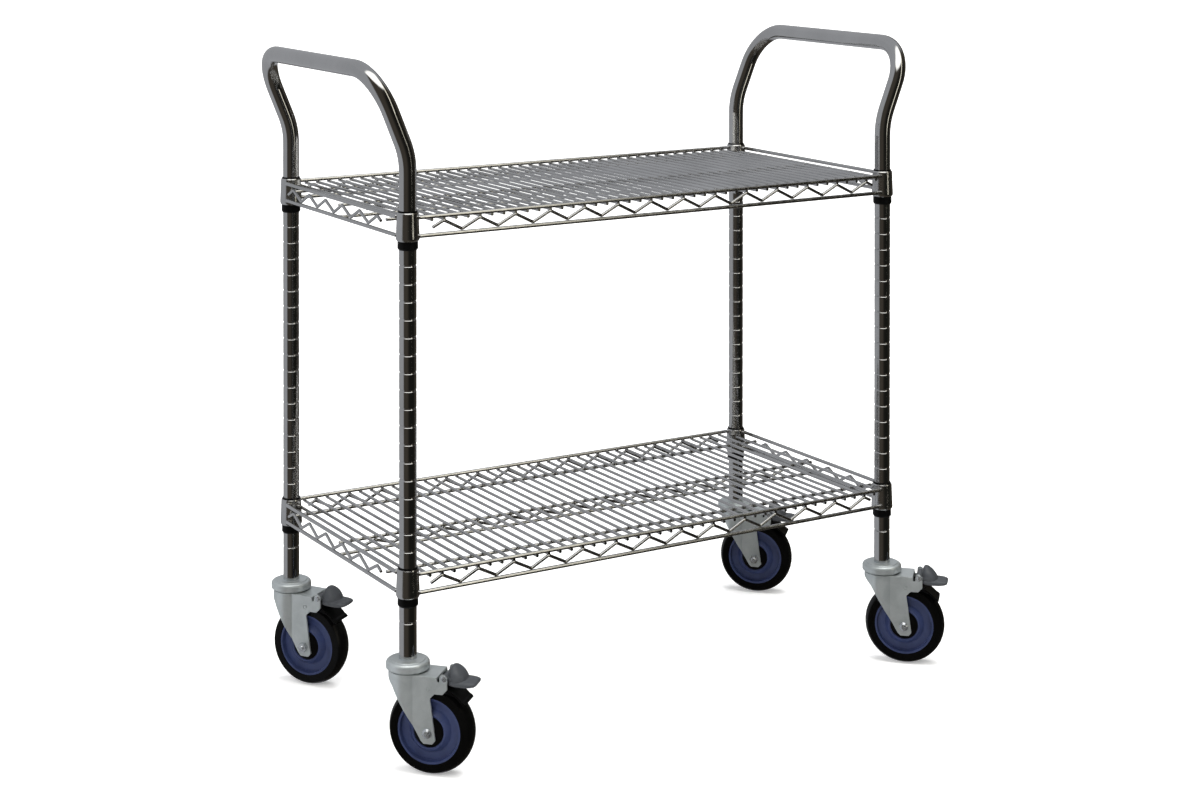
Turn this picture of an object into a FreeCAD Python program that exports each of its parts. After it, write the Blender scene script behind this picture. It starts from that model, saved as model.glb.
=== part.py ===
import FreeCAD, Part
import math
import os

import Sketcher

# Two-shelf wire cart. Millimetres, +X along the long side, +Y across the short side, +Z up.
# The origin is on the floor, midway between the four posts. The corners are lettered:
# a front left (-X -Y), b rear left (-X +Y), c front right (+X -Y), d rear right (+X +Y).

Vector = FreeCAD.Vector

SIZES = (
    # frame
    ("post_span_x", 864.0, "post centre to post centre along the long side"),
    ("post_span_y", 406.0, "post centre to post centre across the short side"),
    ("tube_dia", 25.4, "outside diameter of the post and handle tube"),
    ("tube_wall", 1.4, "wall of that tube"),
    ("groove_pitch", 25.4, "spacing of the adjusting grooves"),
    ("groove_first_z", 211.5, "height of the lowest groove"),
    ("groove_count", 24, "grooves on each post"),
    ("groove_wire", 2.0, "radius of the round groove's section"),
    ("groove_depth", 0.8, "depth of a groove"),
    ("kink_z", 874.5, "height at which the handle starts to lean out"),
    ("kink_bend", 110.0, "centre line radius of that bend"),
    ("bar_z", 997.5, "height of the handle bar's centre line"),
    ("bar_out", 52.0, "handle bar outboard of the posts"),
    ("bar_bend", 65.0, "centre line radius of the handle's two top bends"),
    # split sleeves and collars
    ("sleeve_base_z", 233.5, "height of the lower sleeves' bottom edge"),
    ("sleeve_len", 55.5, "length of a sleeve"),
    ("sleeve_low_rad", 14.9, "sleeve's outside radius at its foot"),
    ("sleeve_top_rad", 14.1, "sleeve's outside radius at its top"),
    ("sleeve_lip", 2.2, "height of the chamfer at the sleeve's foot"),
    ("sleeve_bow", 0.03, "rise of the sleeve's faintly bowed outside"),
    ("sleeve_split_deg", 179.0, "angle covered by each sleeve half"),
    ("sleeve_gap", 0.05, "sleeve to post, radial"),
    ("bead_depth", 0.7, "sleeve bead's height, which sits in a groove"),
    ("collar_gap", 0.06, "collar to sleeve, radial"),
    ("collar_base_z", 246.0, "height of the lower collars' bottom edge"),
    ("collar_len", 41.0, "length of a collar"),
    ("collar_edge_rad", 15.2, "collar's outside radius at its two edges"),
    ("collar_belly_rad", 17.2, "collar's widest radius"),
    ("collar_belly_up", 4.0, "height of the widest place above the collar's bottom edge"),
    ("collar_neck_rad", 15.8, "collar's radius just below its top edge"),
    ("shelf_pitch", 508.0, "height from one shelf to the other"),
    # shelf wires
    ("rail_rad", 3.0, "rim rail radius"),
    ("rail_out", 12.5, "rim rails outboard of the post centres"),
    ("rail_end_gap", 9.5, "rail end short of the post centre"),
    ("rail_top_drop", 7.0, "upper rail below the collar's top edge"),
    ("rail_spacing", 26.5, "upper rail to lower rail"),
    ("zigzag_rad", 2.4, "zigzag wire radius"),
    ("zigzag_bend", 5.0, "zigzag bend, centre line radius"),
    ("zigzag_top_drop", 6.9, "zigzag peak below the upper rail"),
    ("zigzag_low_rise", 5.0, "zigzag trough above the lower rail"),
    ("zigzag_period", 59.1, "zigzag repeat"),
    ("long_peaks", 14, "zigzag peaks along a long side"),
    ("short_peaks", 6, "zigzag peaks along a short side"),
    ("lower_first", 48.5, "first peak from the post on the lower shelf's long sides"),
    ("upper_first", 51.5, "first peak from the post on the upper shelf's long sides"),
    ("short_first", 38.0, "first peak from the post on a short side"),
    ("zigzag_tail", 18.0, "length of the cut tail before the first peak, along the rail"),
    ("zigzag_stub", 12.0, "length of the cut tail after the last peak, along the rail"),
    ("deck_rad", 2.4, "deck wire radius"),
    ("deck_drop", 4.4, "deck wire below the upper rail"),
    ("deck_overhang", 1.5, "deck wire end outboard of the rail's centre"),
    ("deck_per_period", 3, "deck wires in one zigzag period"),
    ("deck_beyond", 2, "deck wires beyond the first peak and beyond the last one"),
    ("deck_weld_rad", 15.3, "radius inside a collar at which the two end wires stop"),
    ("runner_rad", 2.5, "runner radius"),
    ("runner_drop", 8.6, "runner below the upper rail"),
    ("runner_out", 159.0, "outer runners from the centre line"),
    # caster
    ("wheel_rad", 63.5, "wheel radius"),
    ("trail", 37.0, "wheel axle behind the swivel axis"),
    ("tread_half", 16.0, "half the tyre's width"),
    ("tread_crown", 5.1, "rise of the crowned tread"),
    ("core_rad", 47.0, "outside radius of the wheel core"),
    ("core_half", 15.5, "half the core's width at its rim"),
    ("dish_out_rad", 44.0, "outer radius of the dished web"),
    ("dish_in_rad", 24.8, "inner radius of the dished web"),
    ("hub_slope", 6.5, "outward run of the hub's slope down into the dish"),
    ("dish_half", 8.5, "half the web's thickness"),
    ("hub_half", 17.0, "half the hub's width"),
    ("hub_seat_rad", 22.6, "radius of the dust cover's seat"),
    ("hub_seat_half", 14.1, "half width between the dust covers' seats"),
    ("bearing_rad", 16.0, "bearing's outside radius"),
    ("bearing_wide", 9.0, "bearing's width"),
    ("cover_rad", 21.5, "dust cover radius"),
    ("cover_half", 20.3, "dust cover's outer face from the wheel's centre"),
    ("axle_rad", 4.0, "axle bolt radius"),
    ("run_gap", 0.05, "radial clearance between a shaft and what turns on it"),
    ("bond_gap", 0.02, "gap between parts that are pressed or moulded together"),
    ("bolt_head_rad", 7.0, "axle bolt head radius"),
    ("bolt_head_high", 4.6, "axle bolt head height"),
    ("nut_across", 13.0, "axle nut across its flats"),
    ("nut_high", 7.0, "axle nut height"),
    ("fork_half", 23.6, "half the fork's outside width"),
    ("fork_sheet", 2.8, "fork sheet thickness"),
    ("crown_rad", 28.0, "radius of the fork's round crown"),
    ("crown_z", 143.5, "top of the fork's crown plate"),
    ("crown_front", 52.0, "front edge of the crown plate"),
    ("crown_sheet", 3.0, "crown plate thickness"),
    ("leg_foot_z", 48.5, "bottom of the fork legs"),
    ("leg_foot_back", 29.5, "rear corner of the leg's foot"),
    ("leg_foot_front", 49.5, "front corner of the leg's foot"),
    ("leg_toe", 5.0, "size of the foot's front corner cut"),
    ("leg_heel", 4.0, "size of the foot's rear corner cut"),
    ("ear_nose", 7.0, "size of the cut under the ear's front end"),
    ("ear_corner", 4.5, "size of the cut at the ear's top front corner"),
    ("waist_corner", 7.0, "size of the inner corner between leg and arm"),
    ("leg_waist_x", 41.0, "front edge of the leg below the arm"),
    ("arm_under_z", 120.0, "underside of the fork's arm"),
    ("arm_front", 66.5, "front end of the fork's arm"),
    ("ear_back", 56.0, "rear edge of the ear at the pedal pin"),
    ("ear_top_z", 148.0, "top of the ear at the pedal pin"),
    ("slot_z", 137.0, "bottom of the slot between crown plate and ear"),
    ("skirt_z", 138.5, "lower edge of the crown's skirt at the back"),
    ("skirt_turn_x", -15.5, "start of the skirt's long slanting edge, ahead of the swivel axis"),
    ("skirt_turn_z", 125.0, "start of the skirt's long slanting edge, height"),
    ("race_in_rad", 15.5, "inner radius of the fork's ball race"),
    ("race_out_rad", 26.5, "outer radius of the fork's ball race"),
    ("race_z", 145.8, "top of the fork's ball race"),
    ("ball_rad", 3.0, "swivel ball radius"),
    ("ball_ring", 21.0, "radius of the ring of balls"),
    ("ball_z", 147.5, "height of the balls' centres"),
    ("ball_count", 16, "balls in a race"),
    ("cap_rad", 31.5, "swivel cap radius"),
    ("cap_disc_rad", 25.8, "flat disc on top of the cap"),
    ("cap_top_z", 159.0, "top of the swivel cap"),
    ("cap_low_z", 145.9, "bottom edge of the swivel cap's skirt"),
    ("cap_roof_z", 149.6, "underside of the cap over the balls"),
    ("cap_skirt", 2.2, "cap skirt thickness"),
    ("stem_rad", 5.5, "caster stem radius"),
    ("stem_top_z", 216.0, "top of the stem"),
    ("stem_head_rad", 10.0, "riveted head under the fork's crown"),
    ("stem_head_high", 3.6, "height of that head"),
    ("socket_flange", 2.0, "flange of the stem socket, under the post"),
    ("socket_len", 55.0, "length of the stem socket"),
    ("pin_x", 61.7, "pedal pin ahead of the swivel axis"),
    ("pin_z", 142.5, "pedal pin height"),
    ("pin_rad", 2.95, "pedal pin radius"),
    ("pin_head_rad", 4.2, "pedal pin's riveted head radius"),
    ("pin_head_high", 1.6, "pedal pin's head height"),
    ("pedal_half", 19.6, "half the pedal's width"),
    ("pedal_hub", 6.0, "radius of the pedal's hub around its pin"),
    ("pedal_tip_x", 106.0, "front edge of the pedal's foot pad"),
    ("pedal_corner", 6.0, "size of the foot pad's corner cuts"),
    ("pedal_top_z", 157.0, "top of the pedal's release tab"),
    ("tab_foot_x", 92.0, "front of the release tab where it meets the foot pad"),
    ("tab_tip_x", 77.0, "front of the release tab's tip"),
    ("tab_waist_half", 16.5, "half width of the release tab where it starts to narrow"),
    ("tab_waist_z", 149.0, "height at which the release tab starts to narrow"),
    ("pedal_pad_z", 138.5, "top of the pedal's foot pad"),
    ("pedal_plate", 4.4, "thickness of the pedal's pad and tab"),
    ("tab_top_half", 6.5, "half width of the release tab's tip"),
    ("shoe_gap", 3.0, "brake shoe to tyre when released"),
    ("shoe_plate", 2.6, "brake shoe thickness over the tyre"),
    ("shoe_lip", 1.2, "rise of the ridge at the shoe's front end"),
    ("shoe_eye", 5.0, "size of the shoe's eye around its pivot"),
    ("shoe_half", 19.4, "half the brake shoe's width"),
    ("shoe_arm", 2.2, "thickness of the shoe's side arms"),
    ("shoe_pin_x", 39.6, "shoe pivot ahead of the swivel axis"),
    ("shoe_pin_z", 126.1, "shoe pivot height"),
    ("shoe_pin_rad", 2.5, "radius of the pressed bosses that the shoe turns on"),
    ("boss_ring_rad", 3.5, "outer radius of the ring pressed into the fork around each boss"),
    ("boss_ring_deep", 0.7, "depth of that ring"),
    ("shoe_front_deg", 38.0, "front end of the shoe, above the horizontal through the axle"),
    ("shoe_back_deg", 84.0, "rear end of the shoe, above that horizontal"),
    # directions in which the casters trail, from +X
    ("heading_a", -47.0, "caster a"),
    ("heading_b", -55.5, "caster b"),
    ("heading_c", -44.0, "caster c"),
    ("heading_d", -45.0, "caster d"),
)

PARTS_FOLDER = "parts"


# ---------------------------------------------------------------- sizes

class Dim:
    """A size: its value, and the sheet expression that gives it."""

    def __init__(self, value, text):
        self.value = value
        self.text = text

    def __add__(self, other):
        other = as_dim(other)
        return Dim(self.value + other.value, "(%s + %s)" % (self.text, other.text))

    def __sub__(self, other):
        other = as_dim(other)
        return Dim(self.value - other.value, "(%s - %s)" % (self.text, other.text))

    def __mul__(self, other):
        other = as_dim(other)
        return Dim(self.value * other.value, "(%s * %s)" % (self.text, other.text))

    def __truediv__(self, other):
        other = as_dim(other)
        return Dim(self.value / other.value, "(%s / %s)" % (self.text, other.text))

    def __rsub__(self, other):
        return as_dim(other) - self

    def __neg__(self):
        return Dim(-self.value, "(0 - %s)" % self.text)

    __radd__ = __add__
    __rmul__ = __mul__


def as_dim(number):
    if isinstance(number, Dim):
        return number
    return Dim(float(number), "(%r)" % float(number))


def cos(angle):
    angle = as_dim(angle)
    return Dim(math.cos(math.radians(angle.value)), "cos(%s)" % angle.text)


def sin(angle):
    angle = as_dim(angle)
    return Dim(math.sin(math.radians(angle.value)), "sin(%s)" % angle.text)


def sqrt(number):
    return Dim(math.sqrt(number.value), "sqrt(%s)" % number.text)


class SizeBook:
    """Every named size in the sheet, as an attribute."""


doc = FreeCAD.newDocument("WireShelfCart")
sheet = doc.addObject("Spreadsheet::Sheet", "Sizes")
size = SizeBook()
for row, (alias, number, meaning) in enumerate(SIZES, start=1):
    sheet.set("A%d" % row, meaning)
    sheet.set("B%d" % row, str(number))
    sheet.setAlias("B%d" % row, alias)
    setattr(size, alias, Dim(float(number), "Sizes.%s" % alias))
doc.recompute()

HALF_X = size.post_span_x / 2
HALF_Y = size.post_span_y / 2
TUBE_RAD = size.tube_dia / 2
POST_FOOT_Z = size.cap_top_z + size.socket_flange


class Corner:
    """One corner of the cart: its letter, the sign of its X and Y, and its caster."""

    def __init__(self, letter, side_x, side_y, heading, bolt_faces_rear):
        self.letter = letter
        self.x = HALF_X * side_x
        self.y = HALF_Y * side_y
        self.heading = heading
        self.bolt_faces_rear = bolt_faces_rear


CORNERS = (
    Corner("a", -1, -1, size.heading_a, False),
    Corner("b", -1, 1, size.heading_b, True),
    Corner("c", 1, -1, size.heading_c, False),
    Corner("d", 1, 1, size.heading_d, True),
)

# each shelf's name, how many shelf pitches it stands above the lower one, and its first zigzag peak
SHELVES = (("lower", 0, size.lower_first), ("upper", 1, size.upper_first))


# ---------------------------------------------------------------- helpers

finished = []


def finish(thing, label):
    """Label a sub-part and list it for export under that name."""
    thing.Label = label
    finished.append(thing)


def bind(thing, **sizes):
    for name, dim in sizes.items():
        thing.setExpression(name, as_dim(dim).text)


def place(thing, across, along, up, turn=None):
    """Bind the position of an object, and its turn about the vertical, to sizes."""
    for axis, dim in (("x", across), ("y", along), ("z", up)):
        thing.setExpression("Placement.Base." + axis, as_dim(dim).text)
    if turn is not None:
        thing.setExpression("Placement.Rotation.Angle", as_dim(turn).text)


def new_body(name):
    body = doc.addObject("PartDesign::Body", name)
    body.AllowCompound = True
    return body


def origin_part(body, role):
    for feature in body.Origin.OriginFeatures:
        if feature.Role == role:
            return feature
    raise RuntimeError("no %s in %s" % (role, body.Name))


def new_sketch(body, name, plane, offset=(0, 0, 0)):
    """A sketch on one of the body's origin planes, moved by offset in the plane's own axes."""
    sketch = body.newObject("Sketcher::SketchObject", name)
    sketch.AttachmentSupport = [(origin_part(body, plane), "")]
    sketch.MapMode = "FlatFace"
    for axis, dim in zip("xyz", offset):
        sketch.setExpression("AttachmentOffset.Base." + axis, as_dim(dim).text)
    return sketch


def pin_point(sketch, geometry, vertex, across, up):
    """Hold one vertex at a place given by two sizes."""
    horizontal_axis = -1
    vertical_axis = -2
    if across.value == 0:
        sketch.addConstraint(Sketcher.Constraint("PointOnObject", geometry, vertex, vertical_axis))
    else:
        index = sketch.addConstraint(
            Sketcher.Constraint("DistanceX", -1, 1, geometry, vertex, across.value))
        sketch.setExpression("Constraints[%d]" % index, across.text)
    if up.value == 0:
        sketch.addConstraint(Sketcher.Constraint("PointOnObject", geometry, vertex, horizontal_axis))
    else:
        index = sketch.addConstraint(
            Sketcher.Constraint("DistanceY", -1, 1, geometry, vertex, up.value))
        sketch.setExpression("Constraints[%d]" % index, up.text)


def draw_circle(sketch, across, up, radius):
    across, up, radius = as_dim(across), as_dim(up), as_dim(radius)
    centre = Vector(across.value, up.value, 0)
    circle = sketch.addGeometry(Part.Circle(centre, Vector(0, 0, 1), radius.value), False)
    pin_point(sketch, circle, 3, across, up)
    index = sketch.addConstraint(Sketcher.Constraint("Radius", circle, radius.value))
    sketch.setExpression("Constraints[%d]" % index, radius.text)


def arc_between(start, end, radius):
    """The short arc from start to end that bulges to the right of the way from one to the other."""
    chord = end - start
    right = Vector(chord.y, -chord.x, 0).normalize()
    sagitta = abs(radius) - math.sqrt(radius ** 2 - chord.Length ** 2 / 4)
    middle = (start + end) / 2 + right * math.copysign(sagitta, radius)
    return Part.Arc(start, middle, end)


def draw_outline(sketch, corners, arcs=None):
    """A closed outline through corners, drawn counter-clockwise.

    arcs gives a radius for the side that starts at a corner: plus bulges outward, minus inward.
    """
    arcs = arcs or {}
    corners = [(as_dim(across), as_dim(up)) for across, up in corners]
    places = [Vector(across.value, up.value, 0) for across, up in corners]
    count = len(corners)
    sides = []
    for index in range(count):
        start, end = places[index], places[(index + 1) % count]
        if index in arcs:
            radius = as_dim(arcs[index])
            side = sketch.addGeometry(arc_between(start, end, radius.value), False)
            # an arc always runs counter-clockwise, so one that bulges inward is drawn backwards
            first, last = (1, 2) if radius.value > 0 else (2, 1)
        else:
            side = sketch.addGeometry(Part.LineSegment(start, end), False)
            first, last = 1, 2
        sides.append((side, first, last))
    for index, (side, first, last) in enumerate(sides):
        next_side, next_first, _ = sides[(index + 1) % count]
        sketch.addConstraint(Sketcher.Constraint("Coincident", side, last, next_side, next_first))
        pin_point(sketch, side, first, *corners[index])
        if index in arcs:
            radius = as_dim(arcs[index])
            number = sketch.addConstraint(Sketcher.Constraint("Radius", side, abs(radius.value)))
            sketch.setExpression("Constraints[%d]" % number, "abs(%s)" % radius.text)


def tip_volume(body):
    doc.recompute()
    return body.Shape.Volume


def must_grow(body, before, what):
    if tip_volume(body) <= before:
        raise RuntimeError("%s adds nothing to %s" % (what, body.Name))


def must_shrink(body, before, what):
    if tip_volume(body) >= before:
        raise RuntimeError("%s cuts nothing from %s" % (what, body.Name))


def pad(body, sketch, length, side="One side", backwards=False):
    before = tip_volume(body) if body.Tip else 0
    feature = body.newObject("PartDesign::Pad", sketch.Name + "_pad")
    feature.Profile = sketch
    feature.SideType = side
    feature.Reversed = backwards
    bind(feature, Length=length)
    must_grow(body, before, feature.Name)
    return feature


def pocket(body, sketch, length, side="One side", backwards=False):
    before = tip_volume(body)
    feature = body.newObject("PartDesign::Pocket", sketch.Name + "_pocket")
    feature.Profile = sketch
    feature.SideType = side
    feature.Reversed = backwards
    bind(feature, Length=length)
    must_shrink(body, before, feature.Name)
    return feature


def revolve(body, sketch, axis="V_Axis", angle=360):
    before = tip_volume(body) if body.Tip else 0
    feature = body.newObject("PartDesign::Revolution", sketch.Name + "_turned")
    feature.Profile = sketch
    feature.ReferenceAxis = (sketch, [axis])
    bind(feature, Angle=angle)
    must_grow(body, before, feature.Name)
    return feature


def groove(body, sketch, axis="V_Axis"):
    before = tip_volume(body)
    feature = body.newObject("PartDesign::Groove", sketch.Name + "_groove")
    feature.Profile = sketch
    feature.ReferenceAxis = (sketch, [axis])
    feature.Angle = 360
    must_shrink(body, before, feature.Name)
    return feature


def repeat(body, features, steps):
    """Copy features of a body along its axes. steps lists (axis, distance, count)."""
    copies = body.newObject("PartDesign::MultiTransform", "Copies")
    copies.Originals = features
    patterns = []
    for axis, distance, count in steps:
        if axis == "half turn":
            pattern = body.newObject("PartDesign::PolarPattern", "HalfTurn")
            pattern.Axis = (origin_part(body, "Z_Axis"), [""])
            pattern.Angle = 360
            pattern.Occurrences = 2
        else:
            pattern = body.newObject("PartDesign::LinearPattern", "Along" + axis)
            pattern.Direction = (origin_part(body, axis + "_Axis"), [""])
            pattern.Occurrences = count
            bind(pattern, Length=distance * (count - 1))
        patterns.append(pattern)
    copies.Transformations = patterns
    body.Tip = copies
    doc.recompute()
    return copies


def mirror(body, features, plane):
    copy = body.newObject("PartDesign::Mirrored", "Mirror")
    copy.Originals = features
    copy.MirrorPlane = (origin_part(body, plane), [""])
    body.Tip = copy
    doc.recompute()
    return copy


def compound(label, pieces):
    group = doc.addObject("Part::Compound", label)
    group.Links = pieces
    finish(group, label)
    return group


def round_bar(name, radius, length, across, along, up, direction):
    """A plain round wire that starts at a place and runs along X, Y or Z."""
    turns = {
        "X": FreeCAD.Rotation(Vector(0, 1, 0), 90),
        "Y": FreeCAD.Rotation(Vector(1, 0, 0), -90),
        "Z": FreeCAD.Rotation(),
    }
    bar = doc.addObject("Part::Cylinder", name)
    bind(bar, Radius=radius, Height=length)
    bar.Placement = FreeCAD.Placement(Vector(), turns[direction])
    place(bar, across, along, up)
    return bar


def bent_wire(points, bends):
    """A wire through points, with a tangent arc of the given radius at each inner point."""
    edges = []
    start = points[0]
    for before, corner, after, bend in zip(points, points[1:], points[2:], bends):
        way_in = (corner - before).normalize()
        way_out = (after - corner).normalize()
        half_angle = way_in.getAngle(way_out) / 2
        reach = bend * math.tan(half_angle)
        first = corner - way_in * reach
        last = corner + way_out * reach
        inward = (way_out - way_in).normalize()
        centre = corner + inward * (bend / math.cos(half_angle))
        middle = centre - inward * bend
        edges.append(Part.LineSegment(start, first).toShape())
        edges.append(Part.Arc(first, middle, last).toShape())
        start = last
    edges.append(Part.LineSegment(start, points[-1]).toShape())
    return Part.Wire(edges)


def swept_bar(name, radius, points, bends):
    """A round bar along a bent centre line."""
    path = doc.addObject("Part::Feature", name + "_line")
    path.Shape = bent_wire(points, bends)
    section = doc.addObject("Part::Circle", name + "_section")
    bind(section, Radius=radius)
    first_way = (points[1] - points[0]).normalize()
    section.Placement = FreeCAD.Placement(points[0], FreeCAD.Rotation(Vector(0, 0, 1), first_way))
    bar = doc.addObject("Part::Sweep", name)
    bar.Sections = [section]
    bar.Spine = (path, ["Edge%d" % number for number in range(1, len(path.Shape.Edges) + 1)])
    bar.Solid = True
    return bar


# ---------------------------------------------------------------- handle frames

def handle_frame(label, side):
    """Two grooved posts and the handle over them, bent from one length of tube."""
    post_x = HALF_X.value * side
    bar_x = (HALF_X + size.bar_out).value * side
    half_y = HALF_Y.value
    foot = POST_FOOT_Z.value
    kink = size.kink_z.value
    top = size.bar_z.value
    points = [
        Vector(post_x, -half_y, foot),
        Vector(post_x, -half_y, kink),
        Vector(bar_x, -half_y, top),
        Vector(bar_x, half_y, top),
        Vector(post_x, half_y, kink),
        Vector(post_x, half_y, foot),
    ]
    kink_bend = size.kink_bend.value
    bar_bend = size.bar_bend.value
    bends = [kink_bend, bar_bend, bar_bend, kink_bend]
    outside = swept_bar(label + "_outside", TUBE_RAD, points, bends)
    inside = swept_bar(label + "_inside", TUBE_RAD - size.tube_wall, points, bends)
    tube = doc.addObject("Part::Cut", label + "_tube")
    tube.Base = outside
    tube.Tool = inside
    rings = []
    for side_y in (-1, 1):
        for number in range(int(size.groove_count.value)):
            ring = doc.addObject("Part::Torus", "%s_ring_%d" % (label, number))
            bind(ring, Radius1=TUBE_RAD + size.groove_wire - size.groove_depth, Radius2=size.groove_wire)
            place(ring, HALF_X * side, HALF_Y * side_y, size.groove_first_z + size.groove_pitch * number)
            rings.append(ring)
    all_rings = doc.addObject("Part::Compound", label + "_rings")
    all_rings.Links = rings
    frame = doc.addObject("Part::Cut", label)
    frame.Base = tube
    frame.Tool = all_rings
    finish(frame, label)


handle_frame("handle_frame_left", -1)
handle_frame("handle_frame_right", 1)


# ---------------------------------------------------------------- split sleeves

def split_sleeves():
    """Tapered plastic sleeves that lock a shelf on its posts, two halves to a post."""
    body = new_body("split_sleeves")
    inner = TUBE_RAD + size.sleeve_gap
    tip = inner - size.bead_depth
    bead_z = size.groove_first_z + size.groove_pitch * 2 - size.sleeve_base_z
    bead_half = size.groove_wire * 0.6
    tip_half = size.groove_wire * 0.3
    half_length = (size.sleeve_len - size.sleeve_lip) / 2
    bow_radius = (half_length * half_length + size.sleeve_bow * size.sleeve_bow) / (size.sleeve_bow * 2)
    profile = new_sketch(body, "sleeve_profile", "XZ_Plane")
    draw_outline(profile, [
        (inner, 0),
        (size.sleeve_low_rad - size.sleeve_lip * 0.7, 0),
        (size.sleeve_low_rad, size.sleeve_lip),
        (size.sleeve_top_rad, size.sleeve_len),
        (inner, size.sleeve_len),
        (inner, bead_z + bead_half),
        (tip, bead_z + tip_half),
        (tip, bead_z - tip_half),
        (inner, bead_z - bead_half),
    ], arcs={2: bow_radius})
    half = revolve(body, profile, angle=size.sleeve_split_deg)
    repeat(body, [half], [
        ("half turn", None, 2),
        ("X", size.post_span_x, 2),
        ("Y", size.post_span_y, 2),
        ("Z", size.shelf_pitch, 2),
    ])
    place(body, -HALF_X, -HALF_Y, size.sleeve_base_z)
    finish(body, "split_sleeves")


def sleeve_radius(height):
    """Outside radius of a sleeve at a height above its foot."""
    fall = (size.sleeve_low_rad - size.sleeve_top_rad) / (size.sleeve_len - size.sleeve_lip)
    return size.sleeve_low_rad - fall * (height - size.sleeve_lip)


split_sleeves()


# ---------------------------------------------------------------- shelves

def corner_collars(shelf, lift):
    """Tapered collars that the shelf's rails are welded to."""
    label = shelf + "_collars"
    body = new_body(label)
    foot = size.collar_base_z - size.sleeve_base_z
    bore_low = sleeve_radius(foot) + size.collar_gap
    bore_top = sleeve_radius(foot + size.collar_len) + size.collar_gap
    belly_bulge = size.collar_belly_up * 1.35
    rolled_edge = 1.5
    top_edge_rad = size.collar_edge_rad - 0.3
    profile = new_sketch(body, "collar_profile", "XZ_Plane")
    draw_outline(profile, [
        (bore_low, 0),
        (size.collar_edge_rad, 0),
        (size.collar_belly_rad, size.collar_belly_up),
        (size.collar_neck_rad, size.collar_len - rolled_edge),
        (top_edge_rad, size.collar_len),
        (bore_top, size.collar_len),
    ], arcs={1: belly_bulge})
    collar = revolve(body, profile)
    repeat(body, [collar], [("X", size.post_span_x, 2), ("Y", size.post_span_y, 2)])
    place(body, -HALF_X, -HALF_Y, size.collar_base_z + lift)
    finish(body, label)


def round_ended_rail(body, name, half_length, offset, along_x):
    """One rail, turned about its own centre line."""
    radius = size.rail_rad
    sketch = new_sketch(body, name, "XY_Plane", offset)
    if along_x:
        corners = [(-half_length, 0), (half_length, 0),
                   (half_length - radius, radius), (radius - half_length, radius)]
        draw_outline(sketch, corners, arcs={1: radius, 3: radius})
        return revolve(body, sketch, axis="H_Axis")
    corners = [(0, -half_length), (radius, radius - half_length),
               (radius, half_length - radius), (0, half_length)]
    draw_outline(sketch, corners, arcs={0: radius, 2: radius})
    return revolve(body, sketch, axis="V_Axis")


def rim_rails(shelf, lift):
    """Two rails on each of the shelf's four sides."""
    label = shelf + "_rails"
    body = new_body(label)
    rail_y = HALF_Y + size.rail_out
    rail_x = HALF_X + size.rail_out
    top = top_rail_z(lift)
    low = top - size.rail_spacing
    long_rail = round_ended_rail(body, "long_rail", HALF_X - size.rail_end_gap,
                                 (0, -rail_y, low), True)
    repeat(body, [long_rail], [("Y", rail_y * 2, 2), ("Z", size.rail_spacing, 2)])
    short_rail = round_ended_rail(body, "short_rail", HALF_Y - size.rail_end_gap,
                                  (-rail_x, 0, low), False)
    repeat(body, [short_rail], [("X", rail_x * 2, 2), ("Z", size.rail_spacing, 2)])
    finish(body, label)


def top_rail_z(lift):
    return size.collar_base_z + size.collar_len - size.rail_top_drop + lift


def zigzag_points(first, peaks, tail, stub, high, low):
    """Corners of a zigzag as (distance along, height), from its cut tail to its cut stub."""
    period = size.zigzag_period.value
    slope = (high - low) / (period / 2)
    corners = [(first - tail, high - slope * tail)]
    for number in range(peaks):
        peak = first + period * number
        corners.append((peak, high))
        if number < peaks - 1:
            corners.append((peak + period / 2, low))
    last = corners[-1][0]
    corners.append((last + stub, high - slope * stub))
    return corners


def zigzags(shelf, lift, long_first):
    """The zigzag wires between the rails, and the one under the middle of the deck."""
    high = (top_rail_z(lift) - size.zigzag_top_drop).value
    low = (top_rail_z(lift) - size.rail_spacing + size.zigzag_low_rise).value
    rail_x = (HALF_X + size.rail_out).value
    rail_y = (HALF_Y + size.rail_out).value
    tail = size.zigzag_tail.value
    stub = size.zigzag_stub.value
    long_line = zigzag_points(long_first.value, int(size.long_peaks.value), tail, stub, high, low)
    short_line = zigzag_points(size.short_first.value, int(size.short_peaks.value), tail, stub, high, low)
    start_x, start_y = HALF_X.value, HALF_Y.value
    runner_underside = (top_rail_z(lift) - size.runner_drop - size.runner_rad).value
    middle_high = runner_underside - size.zigzag_rad.value
    middle_line = zigzag_points(long_first.value, int(size.long_peaks.value), tail, stub,
                                middle_high, low)
    lines = {
        "front": [Vector(run - start_x, -rail_y, height) for run, height in long_line],
        "rear": [Vector(start_x - run, rail_y, height) for run, height in long_line],
        "left": [Vector(-rail_x, start_y - run, height) for run, height in short_line],
        "right": [Vector(rail_x, run - start_y, height) for run, height in short_line],
        "middle": [Vector(run - start_x, 0, height) for run, height in middle_line],
    }
    wires = []
    for side, points in lines.items():
        bends = [size.zigzag_bend.value] * (len(points) - 2)
        wires.append(swept_bar("%s_zigzag_%s" % (shelf, side), size.zigzag_rad, points, bends))
    compound(shelf + "_zigzags", wires)


def runners(shelf, lift):
    """Long wires that carry the deck, and the lower wire of the middle truss."""
    length = (HALF_X + size.rail_out) * 2
    start = -(HALF_X + size.rail_out)
    under_deck = top_rail_z(lift) - size.runner_drop
    lower_rail = top_rail_z(lift) - size.rail_spacing
    places = (
        (-size.runner_out, under_deck),
        (as_dim(0), under_deck),
        (size.runner_out, under_deck),
        (as_dim(0), lower_rail),
    )
    wires = []
    for number, (along, up) in enumerate(places):
        wires.append(round_bar("%s_runner_%d" % (shelf, number), size.runner_rad, length,
                               start, along, up, "X"))
    compound(shelf + "_runners", wires)


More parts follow.
